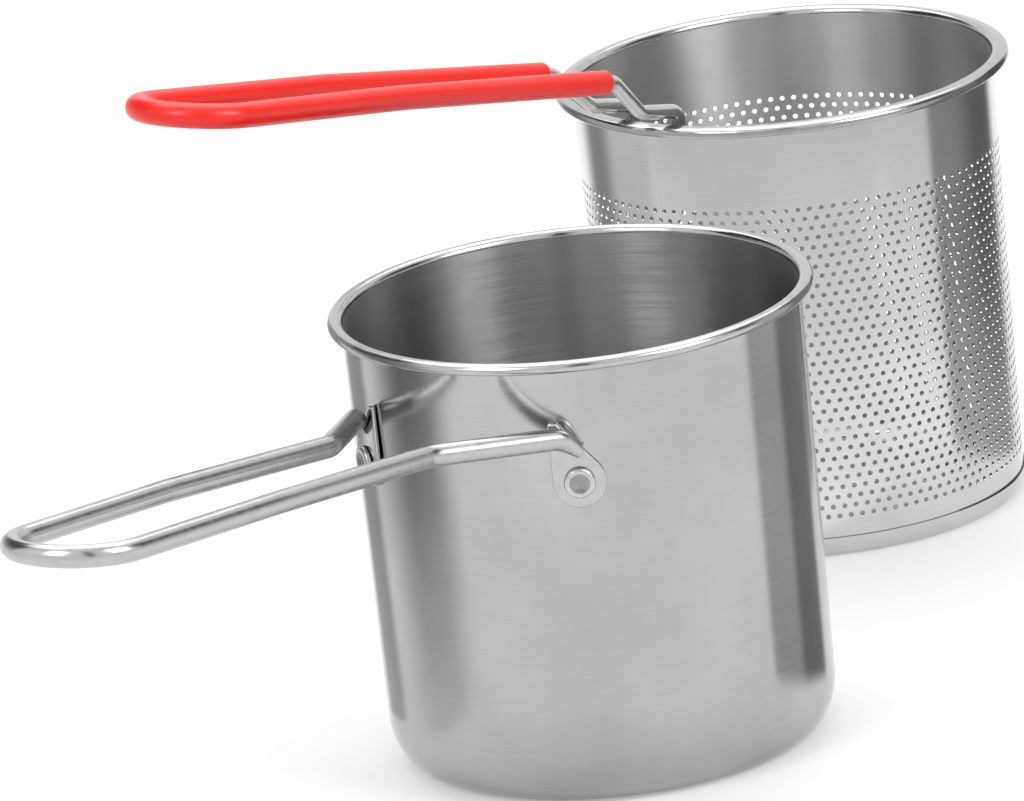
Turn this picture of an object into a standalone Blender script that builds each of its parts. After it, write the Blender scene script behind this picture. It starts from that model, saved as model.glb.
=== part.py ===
"""Deep fry pot with its drainer basket, modelled as separate pieces.

The pot is a deep drawn shell with a rolled lip. Its handle is one bent rod whose two ends lie on ear
plates, and each plate is riveted to the wall. The basket is a rolled sheet with a rolled lip, standing in
a shallow pressed base pan. Its handle is one bent rod that hooks over the lip, with a dipped plastic sleeve.
The basket stands beside the pot and lifts straight up.

Units are metres and +Z is up. The origin is the centre of the pot's base, and the pot's handle points
along -X. The basket is modelled about its own centre under an empty that sets its place and turn.
"""
import math

import bmesh
import bpy
from mathutils import Matrix, Vector

# General
FIT = 0.0003                       # gap between pieces that touch
CUT_OVERRUN = 0.0020               # how far a cutter reaches past the sheet that it cuts
SEGMENTS = 48                      # steps around a turned piece
RIVET_SEGMENTS = 20
ROD_BEVEL_RESOLUTION = 3
MERGE = 0.00001
ARC_STEP = math.radians(22.5)      # most turn between two points of a rounded stretch
SAME_POINT = 0.0002                # points closer than this along a rod are one point
LIP_SLOPE = math.radians(80)       # where the lip leaves its bend and starts its curl
LIP_END = math.radians(-100)       # where the curl ends, under the lip

# Pot shell
POT_RIM_RADIUS = 0.0757
POT_HEIGHT = 0.1450
POT_WALL_TOP_RADIUS = 0.0716
POT_WALL_BASE_RADIUS = 0.0700
POT_SHEET = 0.0008
POT_CORNER_REACH = 0.0105
POT_CORNER_RISE = 0.0155
POT_LIP_BEND = 0.0018
POT_LIP_CURL = 0.0013

# Pot handle
POT_ROD_RADIUS = 0.0035
POT_HANDLE_END = 0.2791            # from the pot's axis to the middle of the loop's end
POT_HANDLE_NECK = 0.1080           # from the pot's axis to where the legs start to splay
POT_HANDLE_NECK_HALF = 0.0184
POT_HANDLE_BOW = 0.1900            # where the legs start to level out
POT_HANDLE_BOW_HALF = 0.0206
POT_HANDLE_LOOP_HALF = 0.0204
POT_HANDLE_SEAT_DROP = 0.0235      # from the rim down to the rod where it meets the ears
POT_HANDLE_SEAT_HEIGHT = POT_HEIGHT - POT_HANDLE_SEAT_DROP
POT_HANDLE_RISE = math.radians(7.9)
POT_LOOP_RISE = math.radians(6.7)
POT_NECK_BEND = 0.0120
POT_BOW_BEND = 0.2000
POT_LOOP_BEND = 0.0196
POT_FOOT_BEND = 0.0060
POT_FOOT_DROP = 0.0056             # how far the rod's tip bends down onto the ear
POT_FOOT_LENGTH = 0.0058
ROD_TIP_SHARES = (0.35, 0.75)      # thickness that is left at the flattened tip and just behind it

# Ears and rivets of the pot handle
EAR_ANGLE = math.radians(32.9)     # from the handle's direction to each rivet
EAR_SHEET = 0.0013
EAR_RADIUS = 0.0082
EAR_OVER_ROD = 0.0002              # how far the ear's top edge stands above the rod
EAR_TOP_WIDTH = 0.0026             # level stretch above the straight edge, under the rod
EAR_TOP_BEND = 0.0010
ROD_TO_RIVET = 0.0015              # clear height between the rod's bent foot and the rivet's head
RIVET_SHANK_RADIUS = 0.0024
RIVET_HEAD_RADIUS = 0.0049
RIVET_HEAD_HEIGHT = 0.0016
RIVET_HEAD_BEVEL = 0.0008
RIVET_DIMPLE_RADIUS = 0.0021
RIVET_DIMPLE_DEPTH = 0.0007
RIVET_TAIL_RADIUS = 0.0042
RIVET_TAIL_HEIGHT = 0.0012
RIVET_HEIGHT = (POT_HANDLE_SEAT_HEIGHT - POT_FOOT_DROP - POT_ROD_RADIUS
                - ROD_TO_RIVET - RIVET_HEAD_RADIUS)
EAR_RISE = POT_HANDLE_SEAT_HEIGHT + POT_ROD_RADIUS + EAR_OVER_ROD - RIVET_HEIGHT

# Basket shell
BASKET_PLACE_X = 0.2285
BASKET_PLACE_Y = 0.0676
BASKET_TURN = math.radians(-7.1)
BASKET_RIM_RADIUS = 0.0747
BASKET_HEIGHT = 0.1491
BASKET_WALL_TOP_RADIUS = 0.0693
BASKET_WALL_FOOT_RADIUS = 0.0666
BASKET_SHEET = 0.0005
BASKET_LIP_BEND = 0.0020
BASKET_LIP_CURL = 0.0014
PAN_HEIGHT = 0.0076
PAN_SHEET = 0.0005
PAN_CORNER = 0.0050

# Openings of the basket wall: a plain grid that is as open as the fine holes of the real sheet
OPENINGS_AROUND = 12
OPENING_ROWS = 5
OPENING_SIDES = 12
OPENING_RADIUS = 0.00675
PLAIN_FOOT = 0.0124                # plain sheet from the ground up to the grid
PLAIN_TOP = 0.0285                 # plain sheet from the grid up to the rim
OPENING_STEP = (BASKET_HEIGHT - PLAIN_FOOT - PLAIN_TOP) / OPENING_ROWS

# Basket handle, measured from the basket's axis and up from its rim
HOOK_LENGTH = 0.0240               # how far the hooks reach down inside the wall
HOOK_HALF = 0.0096
HOOK_SEAT = 0.0140                 # the upright run of a hook, along the wall
HOOK_LEAN = 0.0020                 # how far a hook then leans in, off the wall
HOOK_TOP_RISE = 0.0025
BASKET_ROD_RADIUS = 0.0024
HEEL_REACH = 0.0826                # where the rods turn up into the step
HEEL_HALF = 0.0105
HEEL_RISE = 0.0075
STEP_REACH = 0.0970                # where the step ends and the grip starts
STEP_HALF = 0.0131
STEP_RISE = 0.0220
GRIP_BOW = 0.2000                  # where the grip starts to level out
GRIP_BOW_HALF = 0.0173
GRIP_BOW_RISE = 0.0457
GRIP_END = 0.2924
GRIP_END_HALF = 0.0200
GRIP_END_RISE = 0.0645
HOOK_SEAT_BEND = 0.0100
HOOK_BEND = 0.0050
HEEL_BEND = 0.0090
STEP_BEND = 0.0060
GRIP_BOW_BEND = 0.2000
GRIP_BEND = 0.0190
SLEEVE_RADIUS = 0.0040
SLEEVE_START = 0.0047              # from the step's corner to the end of the sleeve


def clear_scene():
    for item in list(bpy.data.objects):
        bpy.data.objects.remove(item, do_unlink=True)


def new_collection(name):
    collection = bpy.data.collections.new(name)
    bpy.context.scene.collection.children.link(collection)
    return collection


def steel(name, grey, roughness):
    """A bare stainless finish."""
    material = bpy.data.materials.new(name)
    material.use_nodes = True
    shader = material.node_tree.nodes["Principled BSDF"]
    shader.inputs["Base Color"].default_value = (grey, grey, grey, 1)
    shader.inputs["Metallic"].default_value = 1
    shader.inputs["Roughness"].default_value = roughness
    return material


def plastic(name, colour, roughness):
    material = bpy.data.materials.new(name)
    material.use_nodes = True
    shader = material.node_tree.nodes["Principled BSDF"]
    shader.inputs["Base Color"].default_value = (*colour, 1)
    shader.inputs["Metallic"].default_value = 0
    shader.inputs["Roughness"].default_value = roughness
    return material


def add_object(name, data, collection, material=None):
    item = bpy.data.objects.new(name, data)
    collection.objects.link(item)
    if material is not None:
        data.materials.append(material)
    return item


def arc_points(centre, reach, rise, start, stop, steps):
    """Points of an arc of an ellipse in the profile plane, from one angle to another."""
    points = []
    for index in range(steps + 1):
        angle = start + (stop - start) * index / steps
        points.append((centre[0] + reach * math.cos(angle), centre[1] + rise * math.sin(angle)))
    return points


def lip_path(wall_radius, rim_radius, height, bend, curl, sheet):
    """Middle line of a rolled lip: out of the wall, over the top and curled under."""
    bend_centre = (wall_radius + bend, height - sheet / 2 - bend)
    out = arc_points(bend_centre, bend, bend, math.radians(180), LIP_SLOPE, 4)
    curl_x = rim_radius - sheet / 2 - curl
    run = curl_x + curl * math.cos(LIP_SLOPE) - out[-1][0]
    curl_z = out[-1][1] - run / math.tan(LIP_SLOPE) - curl * math.sin(LIP_SLOPE)
    under = arc_points((curl_x, curl_z), curl, curl, LIP_SLOPE, LIP_END, 6)
    return out + under


def offset_path(path, distance):
    """The path moved sideways by a distance, to its left where that is positive."""
    moved = []
    for index, (x, z) in enumerate(path):
        before = path[max(index - 1, 0)]
        after = path[min(index + 1, len(path) - 1)]
        first = Vector((x - before[0], z - before[1]))
        second = Vector((after[0] - x, after[1] - z))
        if first.length == 0:
            first = second
        if second.length == 0:
            second = first
        first.normalize()
        second.normalize()
        normal = Vector((-(first.y + second.y), first.x + second.x)).normalized()
        scale = distance / normal.dot(Vector((-first.y, first.x)))
        moved.append((x + normal.x * scale, z + normal.y * scale))
    return moved


def sheet_outline(path, sheet):
    """Closed or axis-ended outline of a sheet: up its inner side and down its outer side."""
    inner = offset_path(path, sheet / 2)
    outer = offset_path(path, -sheet / 2)
    return inner + outer[::-1]


def turned(name, outline, collection, material, closed, segments):
    """Solid turned about Z from an outline in the XZ plane."""
    mesh = bpy.data.meshes.new(name)
    edges = [(index, index + 1) for index in range(len(outline) - 1)]
    if closed:
        edges.append((len(outline) - 1, 0))
    mesh.from_pydata([(x, 0, z) for x, z in outline], edges, [])
    item = add_object(name, mesh, collection, material)
    screw = item.modifiers.new("Turn", "SCREW")
    screw.axis = "Z"
    screw.angle = math.tau
    screw.steps = segments
    screw.render_steps = segments
    screw.use_merge_vertices = True
    screw.merge_threshold = MERGE
    screw.use_smooth_shade = True
    return item


def rounded_path(corners, bends):
    """Points along straight runs whose corners are rounded to the given bend radii."""
    points = [corners[0]]
    for index in range(1, len(corners) - 1):
        corner = corners[index]
        back = (corners[index - 1] - corner).normalized()
        ahead = (corners[index + 1] - corner).normalized()
        turn = math.pi - back.angle(ahead)
        reach = bends[index - 1] * math.tan(turn / 2)
        middle = (back + ahead).normalized()
        centre = corner + middle * (bends[index - 1] / math.cos(turn / 2))
        start = corner + back * reach - centre
        axis = start.cross(corner + ahead * reach - centre).normalized()
        steps = max(2, math.ceil(turn / ARC_STEP))
        for step in range(steps + 1):
            point = centre + Matrix.Rotation(turn * step / steps, 3, axis) @ start
            if (point - points[-1]).length > SAME_POINT:
                points.append(point)
    points.append(corners[-1])
    return points


def rod(name, points, radius, collection, material, shares=None, capped=True):
    """A round rod along a path, thinner where a share below 1 is given."""
    curve = bpy.data.curves.new(name, "CURVE")
    curve.dimensions = "3D"
    curve.bevel_depth = radius
    curve.bevel_resolution = ROD_BEVEL_RESOLUTION
    curve.render_resolution_u = 0
    curve.use_fill_caps = capped
    spline = curve.splines.new("POLY")
    spline.points.add(len(points) - 1)
    for index, point in enumerate(points):
        spline.points[index].co = (*point, 1)
        spline.points[index].radius = 1 if shares is None else shares[index]
    spline.use_smooth = True
    return add_object(name, curve, collection, material)


def mirrored(half):
    """A symmetric path from its half: the half, then its mirror image in reverse."""
    return half + [Vector((point.x, -point.y, point.z)) for point in reversed(half)]


def pot_wall_radius(height):
    share = height / POT_HEIGHT
    return POT_WALL_BASE_RADIUS + (POT_WALL_TOP_RADIUS - POT_WALL_BASE_RADIUS) * share


def wall_matrix(angle, distance, height):
    """Frame on an upright wall: X along it, Y up and Z straight out."""
    out = Vector((math.cos(angle), math.sin(angle), 0))
    along = Vector((-math.sin(angle), math.cos(angle), 0))
    frame = Matrix((along, Vector((0, 0, 1)), out)).transposed().to_4x4()
    frame.translation = out * distance + Vector((0, 0, height))
    return frame


def build_pot_shell(parts, cutters, finish):
    half = POT_SHEET / 2
    corner_x = POT_WALL_BASE_RADIUS - POT_CORNER_REACH
    path = [(0, half)]
    path += arc_points((corner_x, POT_CORNER_RISE), POT_CORNER_REACH - half, POT_CORNER_RISE - half,
                       math.radians(-90), 0, 5)
    path += lip_path(POT_WALL_TOP_RADIUS - half, POT_RIM_RADIUS, POT_HEIGHT,
                     POT_LIP_BEND, POT_LIP_CURL, POT_SHEET)
    shell = turned("pot_shell", sheet_outline(path, POT_SHEET), parts, finish, False, SEGMENTS)
    for side in (-1, 1):
        bpy.ops.mesh.primitive_cylinder_add(vertices=RIVET_SEGMENTS, radius=RIVET_SHANK_RADIUS + FIT,
                                            depth=2 * (POT_SHEET + CUT_OVERRUN))
        cutter = bpy.context.active_object
        cutter.name = "rivet_hole_cutter"
        cutter.matrix_world = wall_matrix(math.pi - side * EAR_ANGLE, pot_wall_radius(RIVET_HEIGHT),
                                          RIVET_HEIGHT)
        for owner in list(cutter.users_collection):
            owner.objects.unlink(cutter)
        cutters.objects.link(cutter)
        cutter.hide_render = True
        cutter.display_type = "WIRE"
        cut = shell.modifiers.new("Rivet hole", "BOOLEAN")
        cut.operation = "DIFFERENCE"
        cut.solver = "EXACT"
        cut.object = cutter
    return shell


def ear_outline(side):
    """Ear seen from outside, with the rivet at the origin and the handle on the side of -X times side."""
    corner = (EAR_TOP_WIDTH - EAR_RADIUS, EAR_RISE)
    distance = math.hypot(*corner)
    toward = math.atan2(corner[1], corner[0])
    tangent = toward - math.acos(EAR_RADIUS / distance)
    points = arc_points((0, 0), EAR_RADIUS, EAR_RADIUS, math.radians(-180), tangent, 14)
    slant = Vector((math.cos(tangent) * EAR_RADIUS - corner[0], math.sin(tangent) * EAR_RADIUS - corner[1]))
    slant.normalize()
    points.append((corner[0] + slant.x * EAR_TOP_BEND, corner[1] + slant.y * EAR_TOP_BEND))
    points.append((corner[0] - EAR_TOP_BEND, corner[1]))
    points.append((EAR_TOP_BEND - EAR_RADIUS, corner[1]))
    points.append((-EAR_RADIUS, corner[1] - EAR_TOP_BEND))
    return [(side * x, y) for x, y in points]


def add_loop(curve, outline):
    spline = curve.splines.new("POLY")
    spline.points.add(len(outline) - 1)
    for index, (x, y) in enumerate(outline):
        spline.points[index].co = (x, y, 0, 1)
    spline.use_cyclic_u = True


def ear_distance():
    """From the pot's axis to the middle of an ear's thickness."""
    return pot_wall_radius(RIVET_HEIGHT + EAR_RISE) + FIT + EAR_SHEET / 2


def build_ear(name, side, parts, finish):
    curve = bpy.data.curves.new(name, "CURVE")
    curve.dimensions = "2D"
    curve.fill_mode = "BOTH"
    curve.extrude = EAR_SHEET / 2
    add_loop(curve, ear_outline(-side))
    hole = RIVET_SHANK_RADIUS + FIT
    circle = arc_points((0, 0), hole, hole, 0, math.tau, RIVET_SEGMENTS)
    add_loop(curve, circle[:-1])
    ear = add_object(name, curve, parts, finish)
    ear.matrix_world = wall_matrix(math.pi - side * EAR_ANGLE, ear_distance(), RIVET_HEIGHT)
    return ear


def build_rivet(name, side, parts, finish):
    """Head outside the ear, shank through ear and wall, and the closed head inside."""
    head = EAR_SHEET / 2 + FIT
    top = head + RIVET_HEAD_HEIGHT
    wall_inside = pot_wall_radius(RIVET_HEIGHT) - POT_SHEET
    sag = RIVET_TAIL_RADIUS ** 2 / (2 * wall_inside)
    tail = wall_inside - sag - FIT - ear_distance()
    bottom = tail - RIVET_TAIL_HEIGHT
    outline = [
        (0, top - RIVET_DIMPLE_DEPTH),
        (RIVET_DIMPLE_RADIUS - RIVET_DIMPLE_DEPTH, top - RIVET_DIMPLE_DEPTH),
        (RIVET_DIMPLE_RADIUS, top),
        (RIVET_HEAD_RADIUS - RIVET_HEAD_BEVEL, top),
        (RIVET_HEAD_RADIUS, top - RIVET_HEAD_BEVEL),
        (RIVET_HEAD_RADIUS, head),
        (RIVET_SHANK_RADIUS, head),
        (RIVET_SHANK_RADIUS, tail),
        (RIVET_TAIL_RADIUS, tail),
        (RIVET_TAIL_RADIUS - RIVET_TAIL_HEIGHT / 2, bottom),
        (0, bottom),
    ]
    rivet = turned(name, outline, parts, finish, False, RIVET_SEGMENTS)
    rivet.matrix_world = wall_matrix(math.pi - side * EAR_ANGLE, ear_distance(), RIVET_HEIGHT)
    return rivet


def build_pot_handle(parts, finish):
    """The rod: tip on one ear, foot, splayed neck, leg, loop, and the same back to the other ear."""
    ear_face = ear_distance() + EAR_SHEET / 2 + FIT
    along = Vector((-math.sin(EAR_ANGLE), math.cos(EAR_ANGLE), 0))
    out = Vector((math.cos(EAR_ANGLE), math.sin(EAR_ANGLE), 0))
    handle_side = EAR_RADIUS - POT_ROD_RADIUS

    def on_ear(shift, lift, height):
        point = out * (ear_face + lift) + along * shift
        return Vector((-point.x, point.y, height))

    tip_lift = POT_ROD_RADIUS * ROD_TIP_SHARES[0]
    foot = on_ear(-handle_side, POT_ROD_RADIUS, POT_HANDLE_SEAT_HEIGHT)
    tip = on_ear(POT_FOOT_LENGTH - handle_side, tip_lift, POT_HANDLE_SEAT_HEIGHT - POT_FOOT_DROP)
    rise = math.tan(POT_HANDLE_RISE)
    neck_height = POT_HANDLE_SEAT_HEIGHT + (POT_HANDLE_NECK + foot.x) * rise
    bow_height = neck_height + (POT_HANDLE_BOW - POT_HANDLE_NECK) * rise
    end_height = bow_height + (POT_HANDLE_END - POT_HANDLE_BOW) * math.tan(POT_LOOP_RISE)
    neck = Vector((-POT_HANDLE_NECK, POT_HANDLE_NECK_HALF, neck_height))
    bow = Vector((-POT_HANDLE_BOW, POT_HANDLE_BOW_HALF, bow_height))
    end = Vector((-POT_HANDLE_END, POT_HANDLE_LOOP_HALF, end_height))
    half_bends = [POT_FOOT_BEND, POT_NECK_BEND, POT_BOW_BEND, POT_LOOP_BEND]
    points = rounded_path(mirrored([tip, foot, neck, bow, end]), half_bends + half_bends[::-1])
    shares = [1] * len(points)
    for index, share in enumerate(ROD_TIP_SHARES):
        shares[index] = share
        shares[-1 - index] = share
    return rod("pot_handle_rod", points, POT_ROD_RADIUS, parts, finish, shares)


def basket_wall_radius(height):
    share = height / BASKET_HEIGHT
    return BASKET_WALL_FOOT_RADIUS + (BASKET_WALL_TOP_RADIUS - BASKET_WALL_FOOT_RADIUS) * share


def build_opening_cutter(cutters):
    """The whole grid in one mesh: rows of short cylinders, every other row half a step further round."""
    grid = bmesh.new()
    flat_side_up = Matrix.Rotation(math.pi / OPENING_SIDES, 4, "Z")
    for row in range(OPENING_ROWS):
        height = PLAIN_FOOT + OPENING_STEP * (row + 0.5)
        for column in range(OPENINGS_AROUND):
            angle = math.tau * (column + row % 2 / 2) / OPENINGS_AROUND
            place = wall_matrix(angle, basket_wall_radius(height), height) @ flat_side_up
            bmesh.ops.create_cone(grid, cap_ends=True, segments=OPENING_SIDES, matrix=place,
                                  radius1=OPENING_RADIUS, radius2=OPENING_RADIUS,
                                  depth=2 * (BASKET_SHEET + CUT_OVERRUN))
    mesh = bpy.data.meshes.new("opening_cutter")
    grid.to_mesh(mesh)
    grid.free()
    cutter = add_object("opening_cutter", mesh, cutters)
    cutter.hide_render = True
    cutter.display_type = "WIRE"
    return cutter


def build_basket_wall(parts, finish, cutter):
    half = BASKET_SHEET / 2
    path = [(basket_wall_radius(PAN_CORNER) - half, PAN_CORNER)]
    path += lip_path(BASKET_WALL_TOP_RADIUS - half, BASKET_RIM_RADIUS, BASKET_HEIGHT,
                     BASKET_LIP_BEND, BASKET_LIP_CURL, BASKET_SHEET)
    wall = turned("basket_wall", sheet_outline(path, BASKET_SHEET), parts, finish, True, SEGMENTS)
    cut = wall.modifiers.new("Openings", "BOOLEAN")
    cut.operation = "DIFFERENCE"
    cut.solver = "EXACT"
    cut.object = cutter
    return wall


def build_basket_pan(parts, finish):
    half = PAN_SHEET / 2
    side = basket_wall_radius(PAN_HEIGHT) + FIT + half
    path = [(0, half)]
    path += arc_points((side + half - PAN_CORNER, PAN_CORNER), PAN_CORNER - half, PAN_CORNER - half,
                       math.radians(-90), 0, 5)
    path.append((side, PAN_HEIGHT))
    return turned("basket_base_pan", sheet_outline(path, PAN_SHEET), parts, finish, False, SEGMENTS)


def grip_corners():
    """Half of the basket handle's path, from the hook's lower end to the loop's corner."""
    hook_height = BASKET_HEIGHT - HOOK_LENGTH
    rod_inside = basket_wall_radius(hook_height) - BASKET_SHEET - FIT - BASKET_ROD_RADIUS
    hook_reach = math.sqrt((rod_inside - FIT) ** 2 - HOOK_HALF ** 2)
    return [
        Vector((-hook_reach, HOOK_HALF, hook_height)),
        Vector((-hook_reach, HOOK_HALF, hook_height + HOOK_SEAT)),
        Vector((HOOK_LEAN - hook_reach, HOOK_HALF, BASKET_HEIGHT + HOOK_TOP_RISE)),
        Vector((-HEEL_REACH, HEEL_HALF, BASKET_HEIGHT + HEEL_RISE)),
        Vector((-STEP_REACH, STEP_HALF, BASKET_HEIGHT + STEP_RISE)),
        Vector((-GRIP_BOW, GRIP_BOW_HALF, BASKET_HEIGHT + GRIP_BOW_RISE)),
        Vector((-GRIP_END, GRIP_END_HALF, BASKET_HEIGHT + GRIP_END_RISE)),
    ]


def build_basket_handle(parts, finish):
    half_bends = [HOOK_SEAT_BEND, HOOK_BEND, HEEL_BEND, STEP_BEND, GRIP_BOW_BEND, GRIP_BEND]
    points = rounded_path(mirrored(grip_corners()), half_bends + half_bends[::-1])
    return rod("basket_handle_rod", points, BASKET_ROD_RADIUS, parts, finish)


def build_sleeve(parts, finish):
    """Plastic tube that follows the grip: the rod's path again, from just past the step."""
    step, bow, end = grip_corners()[-3:]
    start = step + (bow - step).normalized() * SLEEVE_START
    half_bends = [GRIP_BOW_BEND, GRIP_BEND]
    points = rounded_path(mirrored([start, bow, end]), half_bends + half_bends[::-1])
    sleeve = rod("basket_handle_sleeve", points, SLEEVE_RADIUS, parts, finish, capped=False)
    wall = sleeve.modifiers.new("Wall", "SOLIDIFY")
    wall.thickness = SLEEVE_RADIUS - BASKET_ROD_RADIUS - FIT
    wall.offset = -1
    return sleeve


def build():
    clear_scene()
    parts = new_collection("deep_fry_pot_with_basket")
    cutters = new_collection("cutters")
    drawn = steel("drawn stainless sheet", 0.62, 0.22)
    polished = steel("polished stainless rod", 0.66, 0.12)
    red = plastic("red dipped plastic", (0.90, 0.04, 0.03), 0.35)

    build_pot_shell(parts, cutters, drawn)
    build_pot_handle(parts, polished)
    for side, word in ((1, "left"), (-1, "right")):
        build_ear("pot_ear_" + word, side, parts, polished)
        build_rivet("pot_rivet_" + word, side, parts, polished)

    stand = bpy.data.objects.new("basket_lift_axis", None)
    parts.objects.link(stand)
    stand.location = (BASKET_PLACE_X, BASKET_PLACE_Y, 0)
    stand.rotation_euler = (0, 0, BASKET_TURN)
    cutter = build_opening_cutter(cutters)
    basket = [
        cutter,
        build_basket_wall(parts, drawn, cutter),
        build_basket_pan(parts, drawn),
        build_basket_handle(parts, polished),
        build_sleeve(parts, red),
    ]
    for item in basket:
        item.parent = stand
    bpy.context.view_layer.update()


build()
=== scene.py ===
# %% [markdown]
# # A deep fry pot with its drainer basket
#
# This lesson dresses a small piece of kitchenware: a deep steel pot with a wire loop handle, and the perforated
# basket that drains the food. The plain solids come from the CAD frame. Every visible piece is worked out again here
# as a fine surface, because polished steel shows each facet of a coarse one in its reflections.

# %% Load the frame
import math

import bpy
import numpy as np
from mathutils import Matrix


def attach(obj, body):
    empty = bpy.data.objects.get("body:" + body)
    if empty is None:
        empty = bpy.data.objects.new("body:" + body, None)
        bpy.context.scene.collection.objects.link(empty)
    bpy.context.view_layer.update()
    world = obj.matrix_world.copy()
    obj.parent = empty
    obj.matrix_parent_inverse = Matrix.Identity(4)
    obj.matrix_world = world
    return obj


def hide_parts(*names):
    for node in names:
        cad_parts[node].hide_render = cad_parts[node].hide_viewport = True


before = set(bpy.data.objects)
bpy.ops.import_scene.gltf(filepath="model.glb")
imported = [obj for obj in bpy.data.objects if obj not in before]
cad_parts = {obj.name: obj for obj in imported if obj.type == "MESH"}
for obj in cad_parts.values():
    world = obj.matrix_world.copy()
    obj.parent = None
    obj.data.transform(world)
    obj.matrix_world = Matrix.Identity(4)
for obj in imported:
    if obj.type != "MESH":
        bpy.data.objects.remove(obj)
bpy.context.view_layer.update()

# %% [markdown]
# ## The camera
#
# The picture was taken from in front, a little above the rims, with a long lens, and the camera leaned slightly to
# one side. A lens could be guessed and nudged by eye. Here the numbers come from fitting the ellipses of the two rims
# and the straight sides, so the place, the tilt and the lean are simply written down.

# %% Place the camera
IMAGE_WIDTH = 1024                       # pixels of the picture
FOCAL_PIXELS = 12000                     # distance from the lens at which one unit spans that many pixels
SENSOR_WIDTH = 36.0                      # mm
CAMERA_PLACE = (-2.9120, -2.0586, 1.1820)
CAMERA_HEADING = math.radians(-54.4)
CAMERA_TILT = math.radians(90 - 16.697)
CAMERA_LEAN = math.radians(-6.191)


def add_object(name, data):
    """Puts a new object with its data into the scene."""
    item = bpy.data.objects.new(name, data)
    bpy.context.scene.collection.objects.link(item)
    return item


camera_data = bpy.data.cameras.new("camera")
camera_data.sensor_width = SENSOR_WIDTH
camera_data.lens = FOCAL_PIXELS * SENSOR_WIDTH / IMAGE_WIDTH
camera = add_object("camera", camera_data)
camera.matrix_world = (
    Matrix.Translation(CAMERA_PLACE)
    @ Matrix.Rotation(CAMERA_HEADING, 4, "Z")
    @ Matrix.Rotation(CAMERA_TILT, 4, "X")
    @ Matrix.Rotation(CAMERA_LEAN, 4, "Z")
)
camera_data.clip_end = 50                # metres, past the end of the floor
bpy.context.scene.camera = camera
print("lens in mm:", round(camera_data.lens, 1))

# %% [markdown]
# ## Small helpers for materials
#
# A material is a little graph of nodes. One function turns the hex colours that designers write into the linear
# numbers that a renderer needs. Another fills the inputs of a node with values or with links to other nodes, and a
# third adds a node and fills it. The nodes that come up again and again then have short names of their own.


# %% Colour and node helpers
def linear(hex_colour):
    """sRGB hex to linear RGBA: each channel c is c / 12.92 when small, else ((c + 0.055) / 1.055) ** 2.4."""
    channels = np.array([int(hex_colour[k:k + 2], 16) for k in (1, 3, 5)]) / 255
    values = np.where(channels <= 0.04045, channels / 12.92, ((channels + 0.055) / 1.055) ** 2.4)
    return (*values.tolist(), 1.0)


def feed(tree, node, inputs):
    """Fills a node's inputs. Each gets a plain value, an output, or a node, which stands for its first output."""
    for name, value in inputs.items():
        if isinstance(value, bpy.types.Node):
            value = next(output for output in value.outputs if output.enabled)
        if isinstance(value, bpy.types.NodeSocket):
            tree.links.new(value, node.inputs[name])
        else:
            node.inputs[name].default_value = value


def add_node(tree, kind, inputs=None, **settings):
    """Adds one shader node with its settings and inputs. The kind is its type without the word ShaderNode."""
    node = tree.nodes.new("ShaderNode" + kind)
    for name, value in settings.items():
        setattr(node, name, value)
    feed(tree, node, inputs or {})
    return node


def ramp(tree, value, start, stop, low=0.0, high=1.0, kind="SMOOTHSTEP"):
    """Goes from low to high while the value goes from start to stop, and stays level outside them."""
    return add_node(tree, "MapRange", {
        "Value": value, "From Min": start, "From Max": stop, "To Min": low, "To Max": high},
        interpolation_type=kind)


def blended(tree, factor, first, second):
    """A colour between two others."""
    return add_node(tree, "Mix", {"Factor": factor, "A": first, "B": second}, data_type="RGBA")


def multiplied(tree, first, second):
    return add_node(tree, "Math", {0: first, 1: second}, operation="MULTIPLY")


def new_material(name):
    """An empty node material, its tree and its Principled shader."""
    material = bpy.data.materials.new(name)
    material.use_nodes = True
    tree = material.node_tree
    return material, tree, tree.nodes["Principled BSDF"]


print("white as linear:", linear("#FFFFFF"))

# %% [markdown]
# ## Stainless steel, brushed on a lathe
#
# Pot and basket are 18/8 stainless steel sheet. The body is spun against an abrasive belt, which leaves very fine
# lines round the wall. Such lines smear a reflection up and down and keep it sharp from side to side, so the wall
# shows upright bands of light and dark. The real lines are about 0.05 mm apart. They are drawn about 0.4 mm apart
# here, as coarse as they have to be to show.

# %% Brushed steel
BRUSH_SPACING = 0.0004
BRUSH_LENGTH = 0.030
CLOUD_SIZE = 0.045
LINE_SHARE = 0.25                        # how much the lines count in the colour, beside the clouds
LINE_RANGE = (0.3, 0.7)                  # values between which the lines' noise moves
TONE_RANGE = (0.35, 0.85)                # the same for lines and clouds together
UPRIGHT_SMEAR = 0.25                     # a quarter turn from the lines, which is where they smear a reflection


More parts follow.
